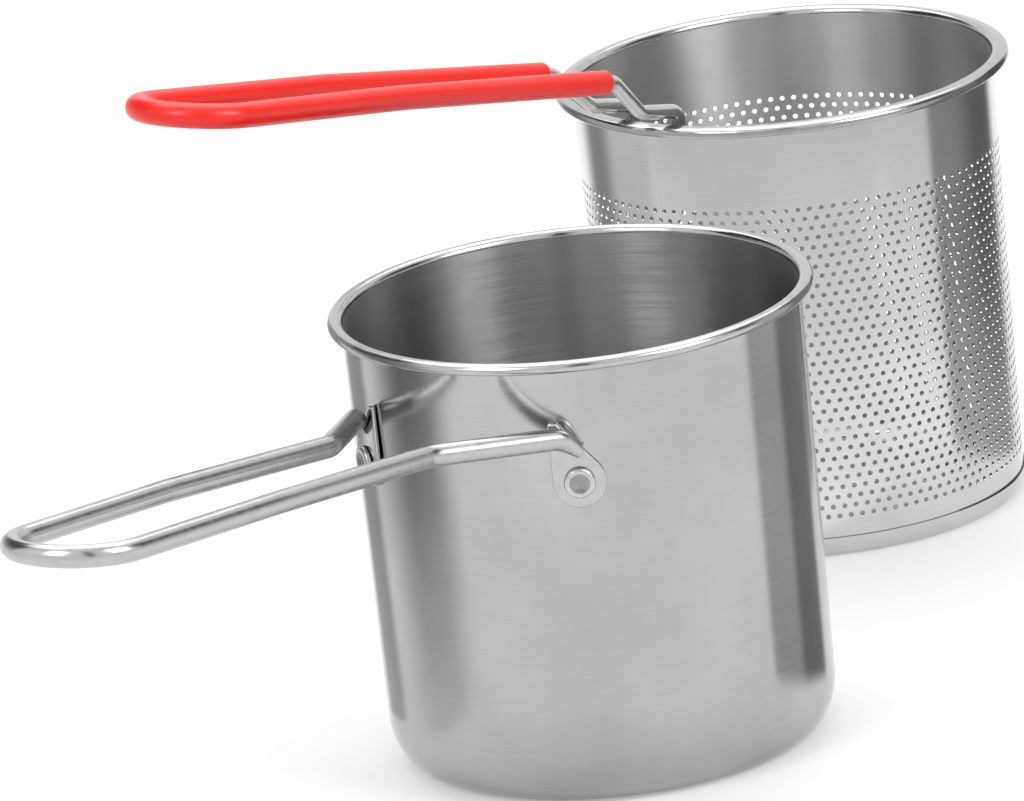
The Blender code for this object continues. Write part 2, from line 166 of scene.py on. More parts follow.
def brushed_steel(name, dark, light, roughness, spread, grain, stretch):
    """Steel with lines round Z: noise that changes slowly along X and Y and fast along Z gives the lines."""
    material, tree, shader = new_material(name)
    place = add_node(tree, "TexCoord").outputs["Object"]
    lines_at = add_node(tree, "Mapping", {
        "Vector": place, "Scale": (1 / BRUSH_LENGTH, 1 / BRUSH_LENGTH, 1 / BRUSH_SPACING)})
    lines = add_node(tree, "TexNoise", {
        "Vector": lines_at, "Scale": 1.0, "Detail": 2.0, "Roughness": 0.6})
    clouds = add_node(tree, "TexNoise", {"Vector": place, "Scale": 1 / CLOUD_SIZE, "Detail": 3.0})
    blend = add_node(tree, "Math", {
        0: lines, 1: LINE_SHARE, 2: clouds}, operation="MULTIPLY_ADD")
    tone = ramp(tree, blend, *TONE_RANGE, kind="LINEAR")
    colour = blended(tree, tone, linear(dark), linear(light))
    rough = ramp(tree, lines, *LINE_RANGE, roughness - spread, roughness + spread, "LINEAR")
    bump = add_node(tree, "Bump", {
        "Height": lines, "Strength": grain, "Distance": BRUSH_SPACING / 10})
    around = add_node(tree, "Tangent", direction_type="RADIAL", axis="Z")
    feed(tree, shader, {
        "Base Color": colour, "Roughness": rough,
        "Normal": bump, "Tangent": around,
        "Metallic": 1.0, "Anisotropic": stretch, "Anisotropic Rotation": UPRIGHT_SMEAR})
    return material, tree, shader, bump


pot_steel = brushed_steel("brushed stainless, outside", "#A2A2A1", "#BABAB9", 0.15, 0.03, 0.12, 0.35)[0]
inside_steel = brushed_steel("brushed stainless, inside", "#9E9E9D", "#C0C0BF", 0.34, 0.04, 0.25, 0.95)[0]
print("made:", pot_steel.name, "and", inside_steel.name)

# %% [markdown]
# ## The punched sheet: hole edges and weld seam
#
# A punch drags the sheet a little way into each hole, so light catches a soft ring round it. The basket's sheet is
# closed by one upright weld, ground flat, which shows as a faint lighter line. Both are too shallow to model. They
# are bumps: one reads how far a point is from its hole, the other how far it is from the seam. The pan at the foot
# has neither, because only its edge is seen.

# %% Punched steel
BASKET_PLACE = np.array([0.2285, 0.0676, 0.0])
BASKET_TURN = math.radians(-7.1)         # about Z, so that its handle points as the picture shows it
HOLE_EDGE = (0.95, 1.5)                  # the dip runs between these distances, in hole radii
HOLE_DIP = 0.00007
SEAM_TURN = math.radians(183)            # where the sheet's two ends meet, seen from the basket's own X axis
SEAM_HALF = 0.0005
SEAM_HEIGHT = 0.00008
SEAM_TONE = "#DCDCDB"
SEAM_SHARE = 0.25                        # how much of that tone the seam takes


def rolled_edges(tree, lines):
    """Adds a smooth dip round each hole: the UV holds the distance from the hole's middle, in hole radii."""
    spot = add_node(tree, "UVMap", uv_map="surface")
    away = add_node(tree, "VectorMath", {0: spot}, operation="LENGTH")
    dip = ramp(tree, away, *HOLE_EDGE)
    return add_node(tree, "Bump", {"Height": dip, "Strength": 0.5, "Distance": HOLE_DIP, "Normal": lines})


def welded_seam(tree, shader, edges):
    """A flat, lighter ridge down the wall. Mapping turns the pattern so that the seam is at Y = 0, X above 0."""
    place = add_node(tree, "TexCoord").outputs["Object"]
    seam_at = add_node(tree, "Mapping", {
        "Vector": place, "Location": tuple(BASKET_PLACE), "Rotation": (0.0, 0.0, BASKET_TURN + SEAM_TURN)},
        vector_type="TEXTURE")
    axes = add_node(tree, "SeparateXYZ", {"Vector": seam_at})
    away = add_node(tree, "Math", {0: axes.outputs["Y"]}, operation="ABSOLUTE")
    ridge = ramp(tree, away, 0.5 * SEAM_HALF, 2 * SEAM_HALF, 1.0, 0.0)
    this_side = add_node(tree, "Math", {0: axes.outputs["X"], 1: 0.0}, operation="GREATER_THAN")
    seam = multiplied(tree, ridge, this_side)
    plain = shader.inputs["Base Color"].links[0].from_socket
    colour = blended(tree, multiplied(tree, seam, SEAM_SHARE), plain, linear(SEAM_TONE))
    bump = add_node(tree, "Bump", {"Height": seam, "Strength": 0.4, "Distance": SEAM_HEIGHT, "Normal": edges})
    feed(tree, shader, {"Base Color": colour, "Normal": bump})


def punched_finish(name, *look):
    """Brushed steel that also has the rolled edges and the seam."""
    material, tree, shader, lines = brushed_steel(name, *look)
    welded_seam(tree, shader, rolled_edges(tree, lines))
    return material


punched_steel = punched_finish("punched stainless sheet", "#C8C8C7", "#DDDDDC", 0.17, 0.03, 0.12, 0.3)
# The inside's tones are darker than the outside's: painted shade inside the basket.
punched_inside_shaded = punched_finish("punched stainless, inside, painted shade", "#B0B0AF", "#C8C8C7", 0.40, 0.04, 0.2, 0.9)
pan_steel = brushed_steel("punched stainless pan", "#C6C6C5", "#DADAD9", 0.17, 0.03, 0.12, 0.3)[0]
print("made:", [item.name for item in (punched_steel, punched_inside_shaded, pan_steel)])

# %% [markdown]
# ## Polished steel for rods, lips, ears and rivets
#
# The rolled lips and the ears are buffed to a soft mirror, and the drawn rods have a satin shine. All of them carry
# faint scuffs from handling: a noise of a few millimetres that moves tone and roughness a little. A second, slower
# noise bends the reflections, as bent and pressed steel does. A rivet's pit is rougher, where the punch struck it, and
# its darker tone is painted shade in the hollow.

# %% Polished steel
SCUFF_SIZE = 0.004
SCUFF_RANGE = (0.35, 0.75)               # values between which the scuffs' noise moves


def polished_steel(name, dark, light, roughness, spread, ripple_size, ripple_depth):
    """Buffed steel: a fine noise varies tone and roughness, and a slow one bends the reflections slightly."""
    material, tree, shader = new_material(name)
    place = add_node(tree, "TexCoord").outputs["Object"]
    scuffs = add_node(tree, "TexNoise", {"Vector": place, "Scale": 1 / SCUFF_SIZE, "Detail": 5.0})
    tone = blended(tree, scuffs, linear(dark), linear(light))
    rough = ramp(tree, scuffs, *SCUFF_RANGE, roughness - spread, roughness + spread, "LINEAR")
    waves = add_node(tree, "TexNoise", {"Vector": place, "Scale": 1 / ripple_size, "Detail": 1.0})
    bump = add_node(tree, "Bump", {"Height": waves, "Strength": 0.5, "Distance": ripple_depth})
    feed(tree, shader, {
        "Base Color": tone, "Roughness": rough,
        "Normal": bump, "Metallic": 1.0})
    return material


lip_steel = polished_steel("polished stainless lip", "#ACACAB", "#C4C4C3", 0.17, 0.04, 0.012, 0.00010)
rod_steel = polished_steel("satin stainless rod", "#AEAEAD", "#C2C2C1", 0.25, 0.05, 0.014, 0.00015)
hook_steel = polished_steel("drawn stainless rod", "#BCBCBB", "#D0D0CF", 0.22, 0.04, 0.014, 0.00015)
ear_steel = polished_steel("buffed stainless plate", "#B0B0AF", "#C4C4C3", 0.20, 0.05, 0.010, 0.00012)
rivet_steel = polished_steel("pressed rivet steel", "#A8A8A7", "#DADAD9", 0.24, 0.05, 0.0012, 0.00030)
# The pit's dark tones are painted shade, standing for the dark of the hollow.
pit_shade_steel = polished_steel("rivet pit, painted shade", "#6E6E6D", "#B8B8B7", 0.34, 0.05, 0.0009, 0.00030)
print("made:", [item.name for item in (lip_steel, rod_steel, hook_steel, ear_steel, rivet_steel, pit_shade_steel)])

# %% [markdown]
# ## Red dipped plastic
#
# The basket's grip is sleeved in soft PVC: the hot rod is dipped in liquid plastic, which sets to a smooth skin with
# a satin gloss. It is a plain dielectric, so the default IOR fits, with a slight mottling of its red.

# %% Red plastic
MOTTLE_SIZE = 0.00625
MOTTLE_DEPTH = 0.0002
RED_TONES = ("#FF2419", "#FF3026")
RED_ROUGHNESS = (0.24, 0.36)

red_plastic, red_tree, red_shader = new_material("red dipped PVC")
red_place = add_node(red_tree, "TexCoord").outputs["Object"]
mottle = add_node(red_tree, "TexNoise", {"Vector": red_place, "Scale": 1 / MOTTLE_SIZE, "Detail": 3.0})
red_tone = blended(red_tree, mottle, linear(RED_TONES[0]), linear(RED_TONES[1]))
red_rough = ramp(red_tree, mottle, 0.0, 1.0, *RED_ROUGHNESS, "LINEAR")
red_bump = add_node(red_tree, "Bump", {"Height": mottle, "Strength": 0.25, "Distance": MOTTLE_DEPTH})
feed(red_tree, red_shader, {
    "Base Color": red_tone, "Roughness": red_rough,
    "Normal": red_bump})
print("made:", red_plastic.name)

# %% [markdown]
# ## Surfaces from arrays
#
# A turned piece, a bent rod and a pressed plate are all grids: one parameter runs along a section and the other
# round it. Blender's Screw and Bevel tools could draw them, but whole numpy arrays make the formula plain and give
# control over every ring. A grid that closes on itself has doubled points at its seam and poles, so one helper welds
# them and turns the squashed quads at a pole into triangles.


# %% Mesh helpers
def grid_faces(rows, columns):
    """Quads between neighbours of a rows by columns grid that is numbered row by row."""
    first = (np.arange(rows - 1)[:, None] * columns + np.arange(columns - 1)[None, :]).ravel()
    return np.stack([first, first + columns, first + columns + 1, first + 1], axis=1)


def welded(points, faces):
    """Doubles become one point. A quad with two equal neighbours loses one of them and is a triangle."""
    _, first, same = np.unique(np.round(points, 7), axis=0, return_index=True, return_inverse=True)
    same = same.ravel()
    quads, triangles = [], []
    for block in faces:
        new = same[block]
        equal = new == np.roll(new, -1, axis=1)
        if block.shape[1] == 3:
            triangles.append(np.stack([new, block], axis=2)[~equal.any(axis=1)])
            continue
        both = np.stack([new, block], axis=2)
        quads.append(both[~equal.any(axis=1)])
        pinched = equal.sum(axis=1) == 1
        start = equal[pinched].argmax(axis=1)
        order = (start[:, None] + np.array([1, 2, 3])) % 4
        triangles.append(np.take_along_axis(both[pinched], order[:, :, None], axis=1))
    return points[first], [np.concatenate(group) for group in (quads, triangles) if group]


def signed_volume(points, faces):
    """Sum of a . (b x c) / 6 over all triangles. It is positive where the faces point outwards."""
    total = 0.0
    for block in faces:
        corner = points[block[:, :, 0]]
        for k in range(1, corner.shape[1] - 1):
            total += np.einsum("ij,ij->", corner[:, 0], np.cross(corner[:, k], corner[:, k + 1])) / 6
    return total


print("a grid of 3 by 4 points has", len(grid_faces(3, 4)), "quads")

# %% [markdown]
# The next helper fills a mesh with whole arrays. A piece whose enclosed volume comes out negative is inside out, so its
# faces are turned round. Then the CAD parts that the piece stands for are hidden, and the piece is hung on the empty
# of the body that carries it.


# %% Piece helper
def make_piece(name, points, faces, materials, body, nodes, uv=None, zones=None, sharp=math.radians(40)):
    """Welds, turns the faces outwards, fills a mesh, hides the CAD parts it stands for and hangs it on its body.

    A zone is the number of a point's material. A face between two zones takes the lower one.
    """
    shape, faces = welded(points, faces)
    if signed_volume(shape, faces) < 0:
        faces = [block[:, ::-1] for block in faces]
    sizes = np.concatenate([np.full(len(block), block.shape[1]) for block in faces])
    corners = np.concatenate([block[:, :, 0].ravel() for block in faces])
    sources = np.concatenate([block[:, :, 1].ravel() for block in faces])
    starts = np.concatenate([[0], np.cumsum(sizes)[:-1]])
    mesh = bpy.data.meshes.new(name)
    mesh.vertices.add(len(shape))
    mesh.vertices.foreach_set("co", shape.astype(np.float32).ravel())
    mesh.loops.add(len(corners))
    mesh.loops.foreach_set("vertex_index", corners.astype(np.int32))
    mesh.polygons.add(len(sizes))
    mesh.polygons.foreach_set("loop_start", starts.astype(np.int32))
    if uv is not None:
        layer = mesh.uv_layers.new(name="surface")
        layer.data.foreach_set("uv", uv[sources].astype(np.float32).ravel())
    for material in materials:
        mesh.materials.append(material)
    if zones is not None:
        lowest = np.minimum.reduceat(zones[sources], starts)
        mesh.polygons.foreach_set("material_index", lowest.astype(np.int32))
    mesh.update(calc_edges=True)
    mesh.validate()
    mesh.shade_smooth()
    mesh.set_sharp_from_angle(angle=sharp)
    piece = add_object(name, mesh)
    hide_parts(*nodes)
    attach(piece, body)
    print(name, "has", int((sizes - 2).sum()), "triangles")
    return piece


# %% [markdown]
# ## Sheet sections
#
# Pot and basket are thin sheet with a rolled lip. The easy way to draw such a thing is its middle line: where the
# line goes, the sheet follows, half a thickness to either side.


# %% Section helpers
def unit(vector):
    return vector / np.linalg.norm(vector)


def polar(radius, a):
    """Points (radius cos a, radius sin a)."""
    return np.stack([radius * np.cos(a), radius * np.sin(a)], axis=-1)


def arc(centre, reach, rise, start, stop, steps):
    """Points (reach cos a, rise sin a) about a centre, for a from start to stop in degrees."""
    a = np.radians(np.linspace(start, stop, steps + 1))
    return np.stack([centre[0] + reach * np.cos(a), centre[1] + rise * np.sin(a)], axis=1)


def sheet_section(middle, thickness):
    """The middle line moved half a thickness to one side, then back along the other side."""
    along = np.gradient(middle, axis=0)
    normal = np.stack([-along[:, 1], along[:, 0]], axis=1) / np.linalg.norm(along, axis=1)[:, None]
    return np.concatenate([middle + normal * thickness / 2, (middle - normal * thickness / 2)[::-1]])


def spaced(path, step, guard=0.0003):
    """The same path with points no further apart than a step, and one close to each end of every long run.

    The close ones keep the shading of a straight run level right up to the bend.
    """
    pieces = []
    for start, end in zip(path[:-1], path[1:]):
        length = np.linalg.norm(end - start)
        count = max(1, math.ceil(length / step))
        shares = np.arange(count) / count
        if length > 8 * guard:
            shares = np.sort(np.append(shares, [guard / length, 1 - guard / length]))
        pieces.append(start + np.outer(shares, end - start))
    return np.concatenate(pieces + [path[-1:]])


def turned(section, segments):
    """A section point (r, z) goes round Z to (r cos a, r sin a, z)."""
    a = np.linspace(0, math.tau, segments + 1)
    a[-1] = 0
    flat = polar(1, a)[:, None, :] * section[None, :, :1]
    height = np.broadcast_to(section[None, :, 1:], (*flat.shape[:2], 1))
    return np.concatenate([flat, height], axis=2).reshape(-1, 3), grid_faces(segments + 1, len(section))


print("an arc of 90 degrees starts at", arc((0, 0), 1, 1, 0, 90, 2)[0])

# %% [markdown]
# ## The pot
#
# The pot is drawn in one piece from a round blank: a flat base, a rounded corner, a wall that widens a little, and a
# lip that is rolled outwards. The lip is buffed after the wall is brushed, so it gets the polished material. The
# grid knows which ring is which, so the three finishes, outside, inside and lip, are easy to part.

# %% Pot shell
POT_HEIGHT = 0.1450
POT_RIM = 0.0757
POT_TOP = 0.0716
POT_BASE = 0.0700
POT_SHEET = 0.0008
POT_CORNER = (0.0105, 0.0155)            # how far in and up the base's corner is rounded
POT_LIP = (0.0018, 0.0013)               # radii of its bend and its curl
TURN_STEPS = 224
WALL_STEP = 0.008                        # longest run of a wall's section between two rings


def lip_line(wall, rim, height, bend, curl, sheet, steps=(12, 20), slope=80, end=-100):
    """Middle line of a lip: an arc out of the wall, a straight run outwards and down, and a curl below."""
    out = arc((wall + bend, height - sheet / 2 - bend), bend, bend, 180, slope, steps[0])
    angle = math.radians(slope)
    curl_x = rim - sheet / 2 - curl
    run = curl_x + curl * math.cos(angle) - out[-1, 0]
    curl_z = out[-1, 1] - run / math.tan(angle) - curl * math.sin(angle)
    return np.concatenate([out, arc((curl_x, curl_z), curl, curl, slope, end, steps[1])])


half = POT_SHEET / 2
corner_in, corner_up = POT_CORNER
pot_middle = np.concatenate([
    [(0, half)],
    arc((POT_BASE - corner_in, corner_up), corner_in - half, corner_up - half, -90, 0, 16),
    lip_line(POT_TOP - half, POT_RIM, POT_HEIGHT, *POT_LIP, POT_SHEET),
])
pot_section = sheet_section(spaced(pot_middle, WALL_STEP), POT_SHEET)
pot_section[[0, -1], 0] = 0
pot_points, pot_faces = turned(pot_section, TURN_STEPS)

OUTSIDE, INSIDE, LIP = 0, 1, 2
LIP_ZONE = (0.0008, 0.0023)              # the lip's finish starts this far outside the wall or below the top


def sheet_zones(section, height, wall):
    """Finish of each ring: the section's first half is its inner side, and the lip is near the top or outside."""
    side = np.where(np.arange(len(section)) < len(section) // 2, INSIDE, OUTSIDE)
    in_lip = (section[:, 0] > wall + LIP_ZONE[0]) | (section[:, 1] > height - LIP_ZONE[1])
    return np.where(in_lip, LIP, side)


pot_zones = np.tile(sheet_zones(pot_section, POT_HEIGHT, POT_TOP), TURN_STEPS + 1)
make_piece("pot_body", pot_points, [pot_faces], [pot_steel, inside_steel, lip_steel], "pot", ["pot_shell"],
           zones=pot_zones)

# %% [markdown]
# ## Bent rods
#
# Both handles are round rod, bent cold round pins. A Blender curve with a bevel would do for a plain tube, but the
# pot's rod is pressed flat where it is welded on. So a rod is a ring carried along a path, which may be squeezed in
# one direction, and rings that shrink to a point close its ends.


# %% Rod helpers
PATH_STEP = 0.004                        # no two neighbours on a rod's path are further apart


def rounded(corners, bends, turn_step=6.0):
    """Straight runs whose corners are arcs: each arc has the bend's radius and touches both runs."""
    corners = np.asarray(corners, dtype=float)
    path = [corners[:1]]
    for corner, before, after, bend in zip(corners[1:-1], corners[:-2], corners[2:], bends):
        back, ahead = unit(before - corner), unit(after - corner)
        turn = math.pi - math.acos(np.clip(back @ ahead, -1, 1))
        middle = unit(back + ahead)
        centre = corner + middle * bend / math.cos(turn / 2)
        steps = max(3, math.ceil(math.degrees(turn) / turn_step))
        a = np.linspace(-turn / 2, turn / 2, steps + 1)
        across = unit(ahead - back)
        path.append(centre - bend * np.outer(np.cos(a), middle) + bend * np.outer(np.sin(a), across))
    path.append(corners[-1:])
    return np.concatenate(path)


def mirrored(half_corners):
    """The other half of a symmetric path: the same corners with Y turned round, in reverse."""
    half_corners = np.asarray(half_corners)
    return np.concatenate([half_corners, half_corners[::-1] * (1, -1, 1)])


def rod_path(half_corners, bends):
    """The path of a symmetric rod, from the corners of its first half and the radii of their bends."""
    return spaced(rounded(mirrored(half_corners), bends + bends[::-1]), PATH_STEP)


def carried_frames(path):
    """Directions along the path and two across it. From the middle outwards, each turns as little as it can."""
    runs = np.diff(path, axis=0)
    runs /= np.linalg.norm(runs, axis=1)[:, None]
    along = np.concatenate([runs[:1], runs[:-1] + runs[1:], runs[-1:]])
    along /= np.linalg.norm(along, axis=1)[:, None]
    side = np.zeros_like(path)
    middle = len(path) // 2
    for order in (range(middle, len(path)), range(middle, -1, -1)):
        across = np.array([0.0, 0.0, 1.0])
        for k in order:
            across = side[k] = unit(across - along[k] * (across @ along[k]))
    return along, side, np.cross(along, side)


def rings_along(path, index, radius, offset, sides=28):
    """Ring k: path point index k, moved by an offset along it, plus radius (cos a side + sin a normal)."""
    along, side, normal = carried_frames(path)
    a = np.linspace(0, math.tau, sides + 1)
    a[-1] = 0
    centre = path[index] + along[index] * offset[:, None]
    spoke = np.cos(a)[:, None] * side[index][:, None] + np.sin(a)[:, None] * normal[index][:, None]
    return centre, spoke * radius[:, None, None]


def rod_surface(path, radius, squeeze=None, bulge=0.6, cap_steps=7):
    """A rod whose ends are rounded off: cap ring b has radius cos b and stands out by bulge sin b.

    Squeeze holds, for each point of the path, the shares of the radius across and along a direction, and that
    direction.
    """
    b = np.radians(np.linspace(0, 90, cap_steps + 1))[1:]
    last = len(path) - 1
    index = np.concatenate([np.zeros(cap_steps, int), np.arange(last + 1), np.full(cap_steps, last)])
    shrink = np.concatenate([np.cos(b)[::-1], np.ones(last + 1), np.cos(b)])
    shrink[[0, -1]] = 0
    offset = np.concatenate([-np.sin(b)[::-1], np.zeros(last + 1), np.sin(b)]) * radius * bulge
    if squeeze is not None:
        offset *= squeeze[1][index]
    centre, spoke = rings_along(path, index, radius * shrink, offset)
    if squeeze is not None:
        wide, thin, direction = (value[index] for value in squeeze)
        through = (spoke @ direction[:, :, None]) * direction[:, None]
        spoke = wide[:, None, None] * (spoke - through) + thin[:, None, None] * through
    rings = centre[:, None] + spoke
    return rings.reshape(-1, 3), grid_faces(len(index), rings.shape[1])


def sleeve_surface(path, outer, inner, cap_steps=8):
    """A tube with rounded ends: outer rings forward, half a turn over the end, and the inner ones back."""
    b = np.radians(np.linspace(0, 180, cap_steps + 1))[1:-1]
    last = len(path) - 1
    middle, wall = (outer + inner) / 2, (outer - inner) / 2
    forth = np.arange(last + 1)
    index = np.concatenate([forth, np.full(len(b), last), forth[::-1], np.zeros(len(b), int), [0]])
    radius = np.concatenate([np.full(last + 1, outer), middle + wall * np.cos(b),
                             np.full(last + 1, inner), middle - wall * np.cos(b), [outer]])
    level = np.zeros(last + 1)
    offset = np.concatenate([level, wall * np.sin(b), level, -wall * np.sin(b), [0]])
    centre, spoke = rings_along(path, index, radius, offset)
    rings = centre[:, None] + spoke
    return rings.reshape(-1, 3), grid_faces(len(index), rings.shape[1])


# %% [markdown]
# ## The pot's handle
#
# One 7 mm rod makes both legs and the loop. Each end is pressed flat and welded along an ear plate, just under the
# lip, and from there the legs run together, straighten and rise gently to the loop.

# %% Pot handle
FIT = 0.0003                             # gap between two pieces that touch
EAR_ANGLE = math.radians(32.9)           # from the handle's direction to each rivet
EAR_SHEET = 0.0013
EAR_RADIUS = 0.0082
EAR_RISE = 0.0192                        # from the rivet up to the ear's top
RIVET_HEIGHT = 0.1060
ROD = 0.0035
SEAT_HEIGHT = 0.1215                     # where the rod reaches the ears
FOOT_DROP = 0.0056                       # how far its tip then bends down
FOOT_LENGTH = 0.0058                     # and runs on along the ear
TIP_LIFT = 0.35                          # the flat tip's middle is this share of the rod's radius off the plate
NECK = (0.1080, 0.0184)                  # out from the axis and half the width, as in the next two
BOW = (0.1900, 0.0206)
LOOP = (0.2791, 0.0204)
LEG_SLOPES = (math.tan(math.radians(7.9)), math.tan(math.radians(6.7)))
POT_BENDS = [0.0060, 0.0120, 0.2000, 0.0196]
PRESS_LENGTH = 0.0085
PRESSED = (0.55, 0.36)                   # shares of the radius left along and across the ear at a pressed end


def pot_wall(height):
    return POT_BASE + (POT_TOP - POT_BASE) * height / POT_HEIGHT


def ear_middle():
    """Distance from the pot's axis to the middle of an ear's thickness."""
    return pot_wall(RIVET_HEIGHT + EAR_RISE) + FIT + EAR_SHEET / 2


def on_ear(shift, lift, height):
    """A point over the left ear: shift along the wall, away from the handle, and lift off the plate."""
    out = np.array([math.cos(EAR_ANGLE), math.sin(EAR_ANGLE)])
    along = np.array([-math.sin(EAR_ANGLE), math.cos(EAR_ANGLE)])
    x, y = out * (ear_middle() + EAR_SHEET / 2 + FIT + lift) + along * shift
    return (-x, y, height)


handle_side = EAR_RADIUS - ROD
foot = on_ear(-handle_side, ROD, SEAT_HEIGHT)
tip = on_ear(FOOT_LENGTH - handle_side, ROD * TIP_LIFT, SEAT_HEIGHT - FOOT_DROP)
neck_z = SEAT_HEIGHT + (NECK[0] + foot[0]) * LEG_SLOPES[0]
bow_z = neck_z + (BOW[0] - NECK[0]) * LEG_SLOPES[0]
loop_z = bow_z + (LOOP[0] - BOW[0]) * LEG_SLOPES[1]
pot_half = [tip, foot, (-NECK[0], NECK[1], neck_z), (-BOW[0], BOW[1], bow_z), (-LOOP[0], LOOP[1], loop_z)]
pot_path = rod_path(pot_half, POT_BENDS)
run = np.concatenate([[0], np.cumsum(np.linalg.norm(np.diff(pot_path, axis=0), axis=1))])
from_end = np.minimum(run, run[-1] - run)
share = np.clip(from_end / PRESS_LENGTH, 0, 1)
share = share * share * (3 - 2 * share)  # 0 at the pressed end, 1 where the rod is round
wide, thin = (pressed + (1 - pressed) * share for pressed in PRESSED)
ear_out = np.array([-math.cos(EAR_ANGLE), math.sin(EAR_ANGLE), 0.0])
outward = np.where((pot_path[:, 1] > 0)[:, None], ear_out, ear_out * (1, -1, 1))
handle_points, handle_faces = rod_surface(pot_path, ROD, squeeze=(wide, thin, outward))
make_piece("pot_handle", handle_points, [handle_faces], [rod_steel], "pot", ["pot_handle_rod"])

# %% [markdown]
# ## Ears and rivets
#
# Each ear is a stamped plate, round about its rivet and straight where it reaches up behind the rod. It is bent to
# the wall's curve. The rivet's head is a low dome with the small pit that the press leaves.


# %% Ears
EAR_TOP = 0.0026                         # width of the top
TOP_CORNER = (0.0006, 0.0012)            # how far in its middle is, and its radius
SIDE_CORNER = 0.0010
EAR_STEP = 0.0008
EAR_EDGE = 0.0004                        # radius of the plate's rounded edge
FACE_RINGS = [1, 0.7, 0.4]               # rings on a face, as shares of the way in to the rivet


def ear_outline():
    """The plate from outside: a circle about the rivet, a vertical edge, a short top and a slanted tangent."""
    corner = np.array([EAR_TOP - EAR_RADIUS, EAR_RISE])
    tangent = math.degrees(math.atan2(corner[1], corner[0]) - math.acos(EAR_RADIUS / np.linalg.norm(corner)))
    circle = arc((0, 0), EAR_RADIUS, EAR_RADIUS, -180, tangent, 40)
    inward, bend = TOP_CORNER
    top = arc((corner[0] - inward, EAR_RISE - bend), bend, bend, tangent, 90, 6)
    left = arc((SIDE_CORNER - EAR_RADIUS, EAR_RISE - SIDE_CORNER), SIDE_CORNER, SIDE_CORNER, 90, 180, 6)
    return spaced(np.concatenate([circle, top, left, circle[:1]]), EAR_STEP)


def wall_place(flat, side):
    """A point (along, up, out) of a plate, wrapped round the pot at the ear's distance."""
    radius = ear_middle() + flat[..., 2]
    turn = math.pi - side * EAR_ANGLE + flat[..., 0] / ear_middle()
    return np.stack([radius * np.cos(turn), radius * np.sin(turn), RIVET_HEIGHT + flat[..., 1]], axis=-1)


def build_ear(name, node, side):
    """Rings of the outline, each scaled about the rivet: out along the face, over the edge and back inside."""
    outline = ear_outline() * (-side, 1)
    b = np.radians(np.linspace(0, 90, 5))
    early, late = 1 - np.sin(b), 1 - np.cos(b)
    inset = np.concatenate([FACE_RINGS, EAR_EDGE / EAR_RADIUS * early, EAR_EDGE / EAR_RADIUS * late,
                            FACE_RINGS[::-1]])
    face = np.full(len(FACE_RINGS), EAR_SHEET / 2)
    level = np.concatenate([face, EAR_SHEET / 2 - EAR_EDGE * late, EAR_EDGE * early - EAR_SHEET / 2, -face])
    rings = outline[None] * (1 - inset)[:, None, None]
    flat = np.concatenate([rings, np.broadcast_to(level[:, None, None], (*rings.shape[:2], 1))], axis=2)
    make_piece(name, wall_place(flat, side).reshape(-1, 3), [grid_faces(len(level), len(outline))],
               [ear_steel], "pot", [node])


build_ear("left_ear", "pot_ear_left", 1)
build_ear("right_ear", "pot_ear_right", -1)

# %% Rivets
HEAD = (0.0049, 0.0016)                  # radius and height, as in the dimple, nib and tail
DIMPLE = (0.0032, 0.0009)
NIB = (0.0010, 0.0004)                   # the little point that the press leaves in the middle of the pit
CROWN = (0.0011, 0.0012)                 # how far in and down the head is rounded
PIT_STEPS = 17
SHANK = 0.0024
TAIL = (0.0042, 0.0012)
RIVET_TURNS = 48


def rivet_section():
    """Half a rivet from its pit, over the head, down the shank and round the closed head inside."""
    seat = EAR_SHEET / 2 + FIT
    top = seat + HEAD[1]
    inside = pot_wall(RIVET_HEIGHT) - POT_SHEET
    tail = inside - TAIL[0] ** 2 / (2 * inside) - FIT - ear_middle()
    reach = np.linspace(0, DIMPLE[0], PIT_STEPS)
    sunk = DIMPLE[1] * (0.5 + 0.5 * np.cos(math.pi * reach / DIMPLE[0]))
    raised_point = NIB[1] * (0.5 + 0.5 * np.cos(math.pi * np.minimum(reach / NIB[0], 1)))
    pit = np.stack([reach, top - sunk + raised_point], axis=1)
    crown = arc((HEAD[0] - CROWN[0], top - CROWN[1]), *CROWN, 90, 0, 8)
    closed = arc((0, tail), TAIL[0], TAIL[1], 0, -90, 10)
    return np.concatenate([pit, crown, [(HEAD[0], seat), (SHANK, seat), (SHANK, tail)], closed])


def build_rivet(name, node, side):
    """The turned section stood on the wall: its Z points straight out of the pot."""
    section = rivet_section()
    flat, faces = turned(section, RIVET_TURNS)
    # The pit's rings take the darker material: painted shade in the hollow.
    pit_shade_zone = np.tile(np.arange(len(section)) < PIT_STEPS, RIVET_TURNS + 1).astype(int)
    turn = math.pi - side * EAR_ANGLE
    out = np.array([math.cos(turn), math.sin(turn), 0])
    along = np.array([-math.sin(turn), math.cos(turn), 0])
    points = (flat[:, :1] * along + flat[:, 1:2] * (0, 0, 1) + (flat[:, 2:] + ear_middle()) * out
              + np.array([0, 0, RIVET_HEIGHT]))
    make_piece(name, points, [faces], [rivet_steel, pit_shade_steel], "pot", [node],
               zones=pit_shade_zone)


build_rivet("left_rivet", "pot_rivet_left", 1)
build_rivet("right_rivet", "pot_rivet_right", -1)

# %% [markdown]
# ## The perforated basket wall
#
# The sheet is punched flat with staggered rows of 1.7 mm holes, rolled into a cylinder and welded. Cutting thousands
# of holes with a Boolean would be slow and messy. Instead one small cell is drawn, a six-cornered brick round an
# eight-sided hole, and copied with array arithmetic. The cells of one row share the corners of the next.

